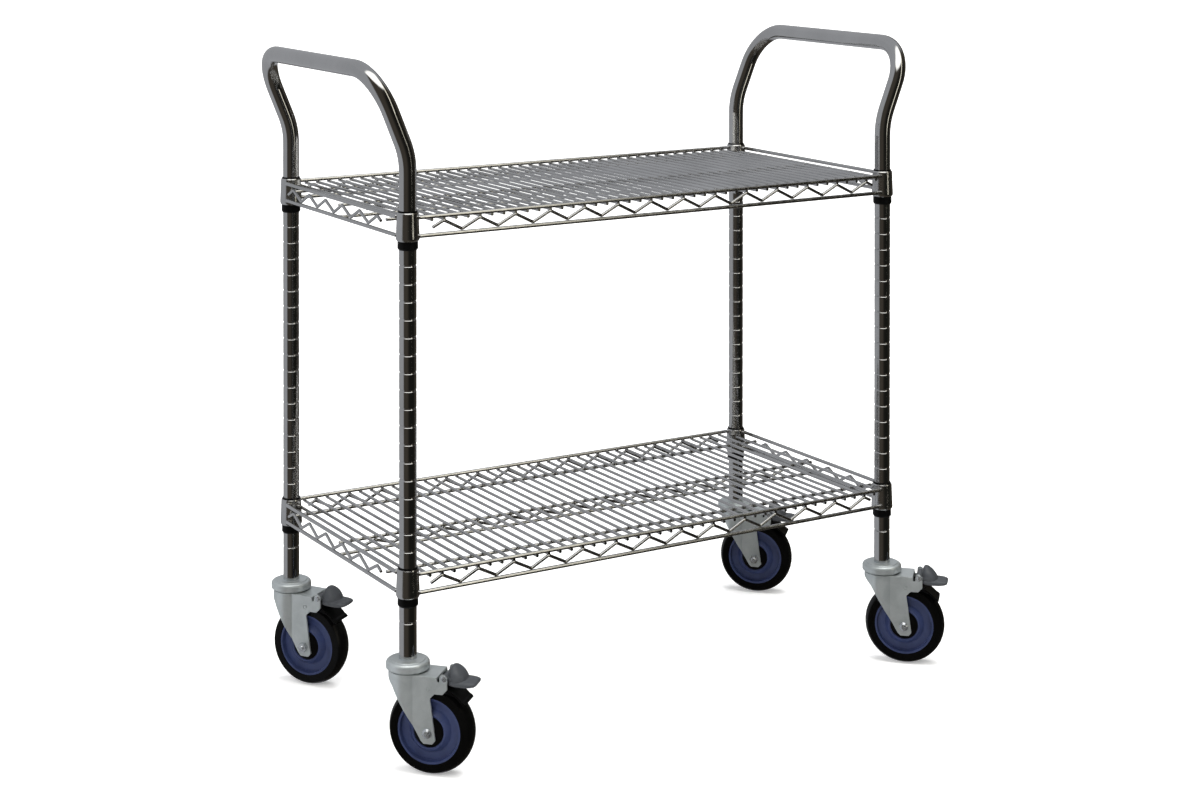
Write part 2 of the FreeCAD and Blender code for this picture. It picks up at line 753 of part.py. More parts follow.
def deck_wires(shelf, lift, long_first):
    """The wires of the deck. Every third one meets a peak of the long sides' zigzags."""
    pitch = size.zigzag_period / size.deck_per_period
    full_reach = HALF_Y + size.rail_out + size.deck_overhang
    peaks = int(size.long_peaks.value)
    per_period = int(size.deck_per_period.value)
    beyond = int(size.deck_beyond.value)
    numbers = range(-beyond, (peaks - 1) * per_period + beyond + 1)
    wires = []
    for number in numbers:
        across = long_first - HALF_X + pitch * number
        reach = full_reach
        if number in (numbers[0], numbers[-1]):
            # the two end wires run into the collars, so they stop in the collars' walls
            side = -1 if number < 0 else 1
            from_post = HALF_X - across * side - size.deck_rad
            reach = HALF_Y - sqrt(size.deck_weld_rad * size.deck_weld_rad - from_post * from_post)
        wires.append(round_bar("%s_deck_%d" % (shelf, number + beyond), size.deck_rad, reach * 2,
                               across, -reach, top_rail_z(lift) - size.deck_drop, "Y"))
    compound(shelf + "_deck_wires", wires)


for shelf_name, pitches, first_peak in SHELVES:
    shelf_lift = size.shelf_pitch * pitches
    corner_collars(shelf_name, shelf_lift)
    rim_rails(shelf_name, shelf_lift)
    zigzags(shelf_name, shelf_lift, first_peak)
    runners(shelf_name, shelf_lift)
    deck_wires(shelf_name, shelf_lift, first_peak)


# ---------------------------------------------------------------- caster mounting

def at_four_posts(label, corners):
    """A turned piece repeated at the four posts. corners are (radius, height)."""
    body = new_body(label)
    profile = new_sketch(body, label + "_profile", "XZ_Plane")
    draw_outline(profile, corners)
    piece = revolve(body, profile)
    repeat(body, [piece], [("X", size.post_span_x, 2), ("Y", size.post_span_y, 2)])
    place(body, -HALF_X, -HALF_Y, 0)
    finish(body, label)


def stem_sockets():
    """Metal sockets pressed into the posts, each with a flange for the post to stand on."""
    inner = size.stem_rad + size.bond_gap
    outer = TUBE_RAD - size.tube_wall - size.bond_gap
    at_four_posts("stem_sockets", [
        (inner, size.cap_top_z),
        (TUBE_RAD, size.cap_top_z),
        (TUBE_RAD, POST_FOOT_Z),
        (outer, POST_FOOT_Z),
        (outer, POST_FOOT_Z + size.socket_len),
        (inner, POST_FOOT_Z + size.socket_len),
    ])


def caster_stems():
    """Stems with a riveted head that holds the fork up against its balls."""
    head_top = size.crown_z - size.crown_sheet - size.run_gap
    head_edge = 1.5
    tip_edge = 1.0
    at_four_posts("caster_stems", [
        (0, head_top - size.stem_head_high),
        (size.stem_head_rad - head_edge, head_top - size.stem_head_high),
        (size.stem_head_rad, head_top - size.stem_head_high + head_edge),
        (size.stem_head_rad, head_top),
        (size.stem_rad, head_top),
        (size.stem_rad, size.stem_top_z - tip_edge),
        (size.stem_rad - tip_edge, size.stem_top_z),
        (0, size.stem_top_z),
    ])


def swivel_caps():
    """Pressed caps over the ball races."""
    label = "swivel_caps"
    body = new_body(label)
    inner = size.stem_rad + size.bond_gap
    skirt_inner = size.cap_rad - size.cap_skirt
    profile = new_sketch(body, "cap_profile", "XZ_Plane")
    shoulder = (size.cap_rad - size.cap_disc_rad) * 0.9
    disc_step = 1.0
    disc_edge = 0.6
    hem = 1.0
    draw_outline(profile, [
        (inner, size.cap_roof_z),
        (skirt_inner, size.cap_roof_z),
        (skirt_inner, size.cap_low_z),
        (size.cap_rad - hem, size.cap_low_z),
        (size.cap_rad, size.cap_low_z + hem),
        (size.cap_rad, size.cap_top_z - disc_step - shoulder),
        (size.cap_rad - shoulder, size.cap_top_z - disc_step),
        (size.cap_disc_rad, size.cap_top_z - disc_step),
        (size.cap_disc_rad - disc_edge, size.cap_top_z),
        (inner, size.cap_top_z),
    ], arcs={5: shoulder})
    cap = revolve(body, profile)
    track = new_sketch(body, "cap_track", "XZ_Plane")
    draw_circle(track, size.ball_ring, size.ball_z, size.ball_rad + size.run_gap)
    ball_track = groove(body, track)
    repeat(body, [cap, ball_track], [("X", size.post_span_x, 2), ("Y", size.post_span_y, 2)])
    place(body, -HALF_X, -HALF_Y, 0)
    finish(body, label)


stem_sockets()
caster_stems()
swivel_caps()


# ---------------------------------------------------------------- casters
# A caster's own axes: x runs from the swivel axis towards the wheel's axle, z is up.

def place_on_swivel(thing, corner):
    place(thing, corner.x, corner.y, 0, corner.heading)


def place_ahead(thing, corner, ahead, up, extra_turn=0):
    """Stand a piece's own origin ahead of the swivel axis, at a height."""
    across = corner.x + ahead * cos(corner.heading)
    along = corner.y + ahead * sin(corner.heading)
    place(thing, across, along, up, corner.heading + extra_turn)


def fork(corner):
    """Pressed steel fork: a round crown, two flat legs and two arms for the pedal."""
    label = "fork_" + corner.letter
    body = new_body(label)
    foot = size.leg_foot_z
    half = size.fork_half
    inside = half - size.fork_sheet
    crown = size.crown_rad
    crown_in = crown - size.fork_sheet
    meet = sqrt(crown * crown - half * half)
    meet_in = sqrt(crown_in * crown_in - inside * inside)
    margin = 5.0
    beyond = size.arm_front + margin

    outside_sketch = new_sketch(body, "outside", "XY_Plane", (0, 0, foot))
    draw_outline(outside_sketch, [
        (size.arm_front, -half),
        (size.arm_front, half),
        (meet, half),
        (-crown, 0),
        (meet, -half),
    ], arcs={2: crown, 3: crown})
    pad(body, outside_sketch, size.ear_top_z - foot)

    hollow = new_sketch(body, "hollow", "XY_Plane", (0, 0, foot))
    draw_outline(hollow, [
        (beyond, -inside),
        (beyond, inside),
        (meet_in, inside),
        (-crown_in, 0),
        (meet_in, -inside),
    ], arcs={2: crown_in, 3: crown_in})
    pocket(body, hollow, size.crown_z - size.crown_sheet - foot, backwards=True)

    mouth = new_sketch(body, "mouth", "XY_Plane", (0, 0, size.ear_top_z))
    draw_outline(mouth, [
        (size.crown_front, -inside),
        (beyond, -inside),
        (beyond, inside),
        (size.crown_front, inside),
    ])
    pocket(body, mouth, size.ear_top_z - size.crown_z + size.crown_sheet)

    around = size.crown_rad * 2
    side_view = new_sketch(body, "side_view", "XZ_Plane")
    draw_outline(side_view, [
        (-around, foot - margin),
        (around * 2, foot - margin),
        (around * 2, size.ear_top_z + margin),
        (-around, size.ear_top_z + margin),
    ])
    draw_side_profile(side_view)
    pocket(body, side_view, half * 4, side="Symmetric")

    race = new_sketch(body, "race", "XZ_Plane")
    race_foot = size.crown_z - size.crown_sheet / 2
    draw_outline(race, [
        (size.race_in_rad, race_foot),
        (size.race_out_rad, race_foot),
        (size.race_out_rad, size.race_z),
        (size.race_in_rad, size.race_z),
    ])
    revolve(body, race)
    track = new_sketch(body, "track", "XZ_Plane")
    draw_circle(track, size.ball_ring, size.ball_z, size.ball_rad + size.run_gap)
    groove(body, track)

    stem_hole = new_sketch(body, "stem_hole", "XY_Plane", (0, 0, size.race_z))
    draw_circle(stem_hole, 0, 0, size.stem_rad + size.run_gap)
    pocket(body, stem_hole, size.crown_sheet * 2)

    cross_holes = new_sketch(body, "cross_holes", "XZ_Plane")
    draw_circle(cross_holes, size.trail, size.wheel_rad, size.axle_rad + size.bond_gap)
    draw_circle(cross_holes, size.pin_x, size.pin_z, size.pin_rad + size.bond_gap)
    pocket(body, cross_holes, half * 4, side="Symmetric")

    boss = new_sketch(body, "boss", "XZ_Plane")
    draw_circle(boss, size.shoe_pin_x, size.shoe_pin_z, size.shoe_pin_rad)
    pad(body, boss, half * 2 - 1, side="Symmetric")
    for name, face, backwards in (("near_ring", half, False), ("far_ring", -half, True)):
        ring = new_sketch(body, name, "XZ_Plane", (0, 0, face))
        draw_circle(ring, size.shoe_pin_x, size.shoe_pin_z, size.boss_ring_rad)
        draw_circle(ring, size.shoe_pin_x, size.shoe_pin_z, size.shoe_pin_rad)
        pocket(body, ring, size.boss_ring_deep, backwards=backwards)
    between = new_sketch(body, "between_bosses", "XZ_Plane")
    draw_circle(between, size.shoe_pin_x, size.shoe_pin_z, size.shoe_pin_rad * 1.5)
    pocket(body, between, (size.shoe_half - size.shoe_arm) * 2, side="Symmetric")

    place_on_swivel(body, corner)
    finish(body, label)


def draw_side_profile(sketch):
    """Side view of the fork, drawn as a hole in a larger rectangle: what is kept."""
    foot = size.leg_foot_z
    front = size.arm_front
    back_of_crown = -size.crown_rad - 2
    lean = 0.5
    slot_edge = 1.0
    ear_edge = 2.0
    draw_outline(sketch, [
        (size.leg_foot_back + size.leg_heel * lean, foot),
        (size.leg_foot_front - size.leg_toe, foot),
        (size.leg_foot_front - lean, foot + size.leg_toe),
        (size.leg_waist_x, size.arm_under_z - size.waist_corner),
        (size.leg_waist_x + size.waist_corner, size.arm_under_z),
        (front - size.ear_nose, size.arm_under_z),
        (front, size.arm_under_z + size.ear_nose),
        (front, size.ear_top_z - size.ear_corner),
        (front - size.ear_corner, size.ear_top_z),
        (size.ear_back + ear_edge, size.ear_top_z),
        (size.ear_back, size.ear_top_z - ear_edge),
        (size.ear_back - slot_edge, size.slot_z),
        (size.crown_front, size.slot_z),
        (size.crown_front - slot_edge, size.crown_z),
        (back_of_crown, size.crown_z),
        (back_of_crown, size.skirt_z),
        (size.skirt_turn_x, size.skirt_turn_z),
        (size.leg_foot_back - size.leg_heel * lean, foot + size.leg_heel),
    ])


def swivel_balls(corner):
    """The ring of balls between the fork and its cap."""
    label = "swivel_balls_" + corner.letter
    balls = []
    count = int(size.ball_count.value)
    for number in range(count):
        ball = doc.addObject("Part::Sphere", "%s_%d" % (label, number))
        bind(ball, Radius=size.ball_rad)
        angle = 360.0 * number / count
        place(ball, corner.x + size.ball_ring * cos(angle), corner.y + size.ball_ring * sin(angle),
              size.ball_z)
        balls.append(ball)
    compound(label, balls)


def axle_turned(corner, label, corners, arcs=None, both_sides=False, turn=0):
    """A piece turned about the wheel's axle. corners are (radius, distance along the axle)."""
    body = new_body(label)
    profile = new_sketch(body, label + "_profile", "XY_Plane")
    draw_outline(profile, corners, arcs)
    piece = revolve(body, profile)
    if both_sides:
        mirror(body, [piece], "XZ_Plane")
    place_ahead(body, corner, size.trail, size.wheel_rad, turn)
    finish(body, label)


def wheel(corner):
    letter = corner.letter
    core = size.core_rad
    draft = 1.0
    bearing_in = size.hub_seat_half - size.bearing_wide
    inner_lip = size.bearing_rad - 3
    cover_step = 0.5
    cover_nose = 0.45
    axle_turned(corner, "wheel_core_" + letter, [
        (inner_lip, -bearing_in),
        (size.bearing_rad, -bearing_in),
        (size.bearing_rad, -size.hub_seat_half),
        (size.hub_seat_rad, -size.hub_seat_half),
        (size.hub_seat_rad, -size.hub_half),
        (size.dish_in_rad, -size.hub_half),
        (size.dish_in_rad + size.hub_slope, -size.dish_half),
        (size.dish_out_rad - draft, -size.dish_half),
        (size.dish_out_rad, -size.core_half),
        (core, -size.core_half),
        (core, size.core_half),
        (size.dish_out_rad, size.core_half),
        (size.dish_out_rad - draft, size.dish_half),
        (size.dish_in_rad + size.hub_slope, size.dish_half),
        (size.dish_in_rad, size.hub_half),
        (size.hub_seat_rad, size.hub_half),
        (size.hub_seat_rad, size.hub_seat_half),
        (size.bearing_rad, size.hub_seat_half),
        (size.bearing_rad, bearing_in),
        (inner_lip, bearing_in),
    ])
    shoulder = size.wheel_rad - size.tread_crown
    crown_bulge = (size.tread_half * size.tread_half + size.tread_crown * size.tread_crown) / (
        size.tread_crown * 2)
    axle_turned(corner, "wheel_tyre_" + letter, [
        (core + size.bond_gap, -size.tread_half),
        (shoulder, -size.tread_half),
        (shoulder, size.tread_half),
        (core + size.bond_gap, size.tread_half),
    ], arcs={1: crown_bulge})
    axle_turned(corner, "wheel_bearings_" + letter, [
        (size.axle_rad + size.run_gap, bearing_in + size.bond_gap),
        (size.bearing_rad - size.bond_gap, bearing_in + size.bond_gap),
        (size.bearing_rad - size.bond_gap, size.hub_seat_half - size.bond_gap),
        (size.axle_rad + size.run_gap, size.hub_seat_half - size.bond_gap),
    ], both_sides=True)
    axle_turned(corner, "dust_covers_" + letter, [
        (size.axle_rad + size.run_gap, size.hub_seat_half + size.bond_gap),
        (size.cover_rad, size.hub_seat_half + size.bond_gap),
        (size.cover_rad, size.hub_half - cover_step),
        (size.cover_rad * cover_nose, size.cover_half),
        (size.axle_rad + size.run_gap, size.cover_half),
    ], both_sides=True)


def axle(corner):
    letter = corner.letter
    half = size.fork_half + size.bond_gap
    turn = 180 if corner.bolt_faces_rear else 0
    thread_end = half + size.nut_high + 2
    thread_edge = 1.0
    head = size.bolt_head_rad
    rim = size.bolt_head_high * 0.35
    dome = size.bolt_head_high * 0.9
    axle_turned(corner, "axle_bolt_" + letter, [
        (0, -half - size.bolt_head_high),
        (head * 0.55, -half - dome),
        (head, -half - rim),
        (head, -half),
        (size.axle_rad, -half),
        (size.axle_rad, thread_end - thread_edge),
        (size.axle_rad - thread_edge, thread_end),
        (0, thread_end),
    ], turn=turn)
    label = "axle_nut_" + letter
    body = new_body(label)
    side = size.nut_across / math.sqrt(3)
    hexagon = new_sketch(body, "hexagon", "XZ_Plane", (0, 0, -half))
    draw_outline(hexagon, [(side * cos(60 * number), side * sin(60 * number)) for number in range(6)])
    draw_circle(hexagon, 0, 0, size.axle_rad + size.bond_gap)
    pad(body, hexagon, size.nut_high, backwards=True)
    place_ahead(body, corner, size.trail, size.wheel_rad, turn)
    finish(body, label)


def pedal_pin(corner):
    """Rivet through both ears of the fork, with its own axis as the body's Y axis."""
    label = "pedal_pin_" + corner.letter
    body = new_body(label)
    ends = size.fork_half + size.bond_gap
    head = size.pin_head_rad
    flat = head * 0.6
    rim = size.pin_head_high * 0.4
    profile = new_sketch(body, "pin_profile", "XY_Plane")
    draw_outline(profile, [
        (0, -ends - size.pin_head_high),
        (flat, -ends - size.pin_head_high),
        (head, -ends - rim),
        (head, -ends),
        (size.pin_rad, -ends),
        (size.pin_rad, ends),
        (head, ends),
        (head, ends + rim),
        (flat, ends + size.pin_head_high),
        (0, ends + size.pin_head_high),
    ])
    revolve(body, profile)
    place_ahead(body, corner, size.pin_x, size.pin_z)
    finish(body, label)


def brake_pedal(corner):
    """Moulded pedal: a hub on the pin, a foot pad in front and a leaning release tab above."""
    label = "brake_pedal_" + corner.letter
    body = new_body(label)
    half = size.pedal_half
    plate = size.pedal_plate
    hub = size.pedal_hub
    pad_top = size.pedal_pad_z
    tip = size.pedal_tip_x
    top = size.pedal_top_z
    edge = 1.5
    profile = new_sketch(body, "side_profile", "XZ_Plane")
    draw_outline(profile, [
        (size.pin_x - hub * 0.3, size.pin_z - hub),
        (size.pin_x + hub, pad_top - plate * 1.5),
        (tip - edge, pad_top - plate - edge / 2),
        (tip, pad_top - plate + edge / 2),
        (tip, pad_top - edge),
        (tip - edge, pad_top - edge / 2),
        (size.tab_foot_x + edge * 2, pad_top),
        (size.tab_foot_x, pad_top + edge),
        (size.tab_tip_x, top - edge),
        (size.tab_tip_x - edge, top),
        (size.tab_tip_x - plate + edge, top),
        (size.tab_tip_x - plate, top - edge * 2),
        (size.pin_x + hub * 0.9, size.pin_z + hub * 1.3),
        (size.pin_x - hub * 0.3, size.pin_z + hub),
        (size.pin_x - hub, size.pin_z),
    ])
    pad(body, profile, half * 2, side="Symmetric")

    # seen from the front the tab narrows to a rounded tip
    tab_foot = pad_top + plate * 1.4
    margin = 5.0
    front_view = new_sketch(body, "front_view", "YZ_Plane", (0, 0, size.pin_x))
    tab_tip = size.tab_top_half
    shoulder_drop = 2.5
    draw_outline(front_view, [
        (half, tab_foot),
        (half + margin, tab_foot),
        (half + margin, top + margin),
        (-half - margin, top + margin),
        (-half - margin, tab_foot),
        (-half, tab_foot),
        (-size.tab_waist_half, size.tab_waist_z),
        (-tab_tip, top - shoulder_drop),
        (tab_tip * -0.6, top),
        (tab_tip * 0.6, top),
        (tab_tip, top - shoulder_drop),
        (size.tab_waist_half, size.tab_waist_z),
    ])
    pocket(body, front_view, tip, side="Symmetric")

    corner_cuts = new_sketch(body, "corner_cuts", "XY_Plane", (0, 0, pad_top + plate))
    cut = size.pedal_corner
    for side in (1, -1):
        corners = [
            (tip - cut * 0.8, (half + margin) * side),
            (tip - cut * 0.8, half * side),
            (tip, (half - cut) * side),
            (tip + margin, (half - cut) * side),
            (tip + margin, (half + margin) * side),
        ]
        draw_outline(corner_cuts, corners if side > 0 else corners[::-1])
    pocket(body, corner_cuts, plate * 3)

    pin_hole = new_sketch(body, "pin_hole", "XZ_Plane")
    draw_circle(pin_hole, size.pin_x, size.pin_z, size.pin_rad + size.run_gap)
    pocket(body, pin_hole, half * 4, side="Symmetric")
    place_on_swivel(body, corner)
    finish(body, label)


def brake_shoe(corner):
    """Shoe over the tyre, with two side arms that turn on the fork's pressed bosses."""
    label = "brake_shoe_" + corner.letter
    body = new_body(label)
    inner = size.wheel_rad + size.shoe_gap
    outer = inner + size.shoe_plate
    lip = outer + size.shoe_lip
    front, back = size.shoe_front_deg, size.shoe_back_deg
    eye = size.shoe_eye
    lip_end, plate_start = front + 3, front + 6
    roof_start, roof_end = back - 22, back - 30

    def around_wheel(radius, angle):
        return (size.trail + radius * cos(angle), size.wheel_rad + radius * sin(angle))

    profile = new_sketch(body, "shoe_profile", "XZ_Plane")
    draw_outline(profile, [
        around_wheel(inner, front),
        around_wheel(lip, front),
        around_wheel(lip, lip_end),
        around_wheel(outer, plate_start),
        around_wheel(outer, back),
        (size.shoe_pin_x - eye, size.shoe_pin_z + eye * 0.6),
        (size.shoe_pin_x - eye, size.shoe_pin_z - eye * 0.6),
        (size.shoe_pin_x, size.shoe_pin_z - eye),
        (size.shoe_pin_x + eye, size.shoe_pin_z - eye * 0.8),
        around_wheel(inner - size.shoe_gap, roof_start),
        around_wheel(inner, roof_end),
    ], arcs={3: outer, 10: -inner})
    pad(body, profile, size.shoe_half * 2, side="Symmetric")
    clear = new_sketch(body, "wheel_room", "XZ_Plane")
    draw_circle(clear, size.trail, size.wheel_rad, inner)
    pocket(body, clear, (size.shoe_half - size.shoe_arm) * 2, side="Symmetric")
    bores = new_sketch(body, "boss_bores", "XZ_Plane")
    draw_circle(bores, size.shoe_pin_x, size.shoe_pin_z, size.shoe_pin_rad + size.run_gap)
    pocket(body, bores, size.shoe_half * 4, side="Symmetric")
    place_on_swivel(body, corner)
    finish(body, label)


for caster_corner in CORNERS:
    fork(caster_corner)
    swivel_balls(caster_corner)
    wheel(caster_corner)
    axle(caster_corner)
    pedal_pin(caster_corner)
    brake_pedal(caster_corner)
    brake_shoe(caster_corner)


# ---------------------------------------------------------------- checks and files

doc.recompute()
for thing in doc.Objects:
    if "Invalid" in thing.State or "Error" in thing.State:
        raise RuntimeError("%s did not compute: %s" % (thing.Name, thing.State))

os.makedirs(PARTS_FOLDER, exist_ok=True)
for thing in finished:
    if thing.Shape.isNull() or not thing.Shape.isValid():
        raise RuntimeError("%s has no valid shape" % thing.Label)
    thing.Shape.exportStep(os.path.join(PARTS_FOLDER, thing.Label + ".step"))
print("wrote %d sub-parts" % len(finished))
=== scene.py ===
import math

import bmesh
import bpy
from mathutils import Matrix, Vector


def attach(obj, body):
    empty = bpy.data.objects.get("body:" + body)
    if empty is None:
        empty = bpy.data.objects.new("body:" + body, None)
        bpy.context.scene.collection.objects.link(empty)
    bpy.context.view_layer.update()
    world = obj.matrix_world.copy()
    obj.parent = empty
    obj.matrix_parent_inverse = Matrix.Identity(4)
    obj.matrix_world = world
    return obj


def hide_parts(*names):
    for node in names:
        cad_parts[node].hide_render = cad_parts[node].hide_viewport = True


# Looks of the two-shelf wire cart. Metres, +X along the long side, +Y away from the viewer, +Z up.

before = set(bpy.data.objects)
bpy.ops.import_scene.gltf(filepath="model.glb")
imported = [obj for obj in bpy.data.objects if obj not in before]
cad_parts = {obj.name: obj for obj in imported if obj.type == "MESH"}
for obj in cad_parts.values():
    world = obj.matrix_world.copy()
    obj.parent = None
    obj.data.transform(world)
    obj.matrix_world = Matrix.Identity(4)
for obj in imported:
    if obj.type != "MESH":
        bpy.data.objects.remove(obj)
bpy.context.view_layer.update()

CAMERA_AT = Vector((-1.842, -2.965, 1.273))
CAMERA_TURN = -30.39      # degrees about the vertical, from looking along +Y
PLANE_DOWN = 0.45         # degrees that the picture plane leans forward
LENS_RIGHT = 0.0299       # middle of the picture right of the lens axis, per unit of distance
LENS_DOWN = 0.2327        # and below it
FOCAL_LENGTH = 1.8145     # per unit of picture width
SENSOR_WIDTH = 36.0       # millimetres


# ---------------------------------------------------------------- materials

class Finish:
    """A material that is put together node by node."""

    def __init__(self, name):
        self.material = bpy.data.materials.new(name)
        self.material.use_nodes = True
        self.nodes = self.material.node_tree.nodes
        self.links = self.material.node_tree.links
        self.shader = self.nodes["Principled BSDF"]
        self.coordinates = self.nodes.new("ShaderNodeTexCoord").outputs["Object"]

    def set(self, **values):
        for name, value in values.items():
            self.shader.inputs[name.replace("_", " ")].default_value = value

    def feed(self, socket, source):
        self.links.new(source, self.shader.inputs[socket])

    def stretched(self, stretch):
        mapping = self.nodes.new("ShaderNodeMapping")
        mapping.inputs["Scale"].default_value = stretch
        self.links.new(self.coordinates, mapping.inputs["Vector"])
        return mapping.outputs["Vector"]

    def noise(self, scale, detail=4.0, roughness=0.55, stretch=None, distortion=0.0):
        texture = self.nodes.new("ShaderNodeTexNoise")
        texture.inputs["Scale"].default_value = scale
        texture.inputs["Detail"].default_value = detail
        texture.inputs["Roughness"].default_value = roughness
        texture.inputs["Distortion"].default_value = distortion
        vector = self.coordinates if stretch is None else self.stretched(stretch)
        self.links.new(vector, texture.inputs["Vector"])
        return texture.outputs["Fac"]

    def ramp(self, source, stops):
        """Colours along a value; stops are two of (position, colour)."""
        ramp = self.nodes.new("ShaderNodeValToRGB")
        for element, (position, colour) in zip(ramp.color_ramp.elements, stops):
            element.position = position
            element.color = (*colour, 1.0)
        self.links.new(source, ramp.inputs["Fac"])
        return ramp.outputs["Color"]

    def spread(self, source, low, high, start=0.3, end=0.7):
        """Turns a value that runs from start to end into one from low to high."""
        spread = self.nodes.new("ShaderNodeMapRange")
        spread.inputs["From Min"].default_value = start
        spread.inputs["From Max"].default_value = end
        spread.inputs["To Min"].default_value = low
        spread.inputs["To Max"].default_value = high
        self.links.new(source, spread.inputs["Value"])
        return spread.outputs["Result"]

    def bump(self, source, depth, over=None):
        """Raises the surface by source; depth in metres."""
        bump = self.nodes.new("ShaderNodeBump")
        bump.inputs["Distance"].default_value = depth
        bump.inputs["Strength"].default_value = 1.0
        self.links.new(source, bump.inputs["Height"])
        if over is not None:
            self.links.new(over, bump.inputs["Normal"])
        return bump.outputs["Normal"]

    def soft_edges(self, radius, samples=4):
        """Normals that look as if edges were rounded to a radius in metres."""
        bevel = self.nodes.new("ShaderNodeBevel")
        bevel.samples = samples
        bevel.inputs["Radius"].default_value = radius
        return bevel.outputs["Normal"]


# smooth and worn are roughnesses; ripple, scratch, texture_depth and edge are in metres

def chrome(name, bright, dull, smooth, worn, ripple, scratch=0.000002):
    """Polished metal: bright colour with cloudy, slightly duller patches and fine polishing lines."""
    finish = Finish(name)
    finish.set(Metallic=1.0)
    clouds = finish.noise(9.0, detail=5.0, roughness=0.6)
    finish.feed("Base Color", finish.ramp(clouds, [(0.35, dull), (0.62, bright)]))
    specks = finish.noise(140.0, detail=3.0)
    finish.feed("Roughness", finish.spread(specks, smooth, worn))
    wobble = finish.noise(22.0, detail=2.0)
    lines = finish.noise(700.0, detail=2.0, stretch=(1.0, 1.0, 0.04))
    surface = finish.bump(wobble, ripple)
    finish.feed("Normal", finish.bump(lines, scratch, over=surface))
    return finish.material


def zinc(name, bright, dull, smooth, worn, edge, metallic):
    """Zinc plate on pressed steel: satin, with smears, shallow dents and rounded sheet edges."""
    finish = Finish(name)
    finish.set(Metallic=metallic)
    smears = finish.noise(34.0, detail=6.0, roughness=0.62, distortion=0.6)
    finish.feed("Base Color", finish.ramp(smears, [(0.32, dull), (0.66, bright)]))
    grain = finish.noise(420.0, detail=4.0, roughness=0.7)
    finish.feed("Roughness", finish.spread(grain, smooth, worn))
    dents = finish.noise(30.0, detail=2.0)
    surface = finish.bump(dents, depth=0.00006, over=finish.soft_edges(edge, samples=6))
    finish.feed("Normal", finish.bump(grain, depth=0.0000008, over=surface))
    return finish.material


def moulded(name, bright, dull, smooth, worn, texture_depth, edge, shine):
    """Injection-moulded plastic: fine eggshell texture, faint flow marks and soft corners."""
    finish = Finish(name)
    finish.set(Specular_IOR_Level=shine)
    flow = finish.noise(26.0, detail=5.0, roughness=0.6, distortion=1.2)
    finish.feed("Base Color", finish.ramp(flow, [(0.3, dull), (0.7, bright)]))
    skin = finish.noise(1300.0, detail=2.0)
    scuffs = finish.noise(85.0, detail=6.0, roughness=0.65)
    finish.feed("Roughness", finish.spread(scuffs, smooth, worn))
    finish.feed("Normal", finish.bump(skin, texture_depth, over=finish.soft_edges(edge)))
    return finish.material


def rubber(name, bright, dull, smooth, worn):
    """Dense black tread: almost polished, with a faint bloom and fine pores."""
    finish = Finish(name)
    finish.set(Specular_IOR_Level=0.16)
    bloom = finish.noise(12.0, detail=5.0, roughness=0.6)
    finish.feed("Base Color", finish.ramp(bloom, [(0.35, dull), (0.7, bright)]))
    finish.feed("Roughness", finish.spread(bloom, smooth, worn))
    pores = finish.noise(700.0, detail=2.0)
    finish.feed("Normal", finish.bump(pores, depth=0.000004, over=finish.soft_edges(radius=0.0015)))
    return finish.material


def grey(level):
    return (level, level, level)


TUBE_CHROME = chrome("tube_chrome", bright=grey(0.62), dull=grey(0.56), smooth=0.06, worn=0.13,
                     ripple=0.00002)
WIRE_CHROME = chrome("wire_chrome", bright=grey(0.64), dull=grey(0.54), smooth=0.12, worn=0.22,
                     ripple=0.00001, scratch=0.0000005)
ZINC = zinc("satin_zinc", bright=(0.58, 0.62, 0.63), dull=(0.48, 0.52, 0.53), smooth=0.30, worn=0.38,
            edge=0.0009, metallic=0.75)
BRIGHT_ZINC = zinc("bright_zinc", bright=(0.66, 0.69, 0.72), dull=(0.52, 0.55, 0.59), smooth=0.20,
                   worn=0.28, edge=0.0005, metallic=0.90)
BALL_STEEL = chrome("ball_steel", bright=grey(0.60), dull=grey(0.54), smooth=0.08, worn=0.14,
                    ripple=0.000001)
BLACK_PLASTIC = moulded("black_plastic", bright=grey(0.0020), dull=grey(0.0010), smooth=0.26,
                        worn=0.40, texture_depth=0.000003, edge=0.0007, shine=0.10)
PEDAL_PLASTIC = moulded("pedal_plastic", bright=(0.052, 0.056, 0.062), dull=(0.038, 0.041, 0.046),
                        smooth=0.36, worn=0.52, texture_depth=0.00001, edge=0.0012, shine=0.35)
CORE_PLASTIC = moulded("core_plastic", bright=(0.027, 0.038, 0.100), dull=(0.019, 0.027, 0.072),
                       smooth=0.30, worn=0.46, texture_depth=0.000005, edge=0.0010, shine=0.35)
TREAD = rubber("tread", bright=grey(0.0020), dull=grey(0.0010), smooth=0.18, worn=0.26)

# looks by the beginning of a piece's name: (material slot, material)
FINISHES = {
    "handle_frame": ("chromed_tube", TUBE_CHROME),
    "split_sleeves": ("black_plastic", BLACK_PLASTIC),
    "stem_sockets": ("bright_zinc", BRIGHT_ZINC),
    "caster_stems": ("bright_zinc", BRIGHT_ZINC),
    "swivel_caps": ("zinc_steel", ZINC),
    "upper_": ("chromed_wire", WIRE_CHROME),
    "lower_": ("chromed_wire", WIRE_CHROME),
    "fork_": ("zinc_steel", ZINC),
    "swivel_balls": ("bearing_steel", BALL_STEEL),
    "wheel_core": ("blue_grey_nylon", CORE_PLASTIC),
    "wheel_tyre": ("black_tread", TREAD),
    "wheel_bearings": ("bearing_steel", BALL_STEEL),
    "dust_covers": ("black_plastic", BLACK_PLASTIC),
    "axle_bolt": ("bright_zinc", BRIGHT_ZINC),
    "axle_nut": ("bright_zinc", BRIGHT_ZINC),
    "pedal_pin": ("bright_zinc", BRIGHT_ZINC),
    "brake_pedal": ("grey_plastic", PEDAL_PLASTIC),
    "brake_shoe": ("black_plastic", BLACK_PLASTIC),
}


def paint(piece, material):
    piece.data.materials.clear()
    piece.data.materials.append(material)


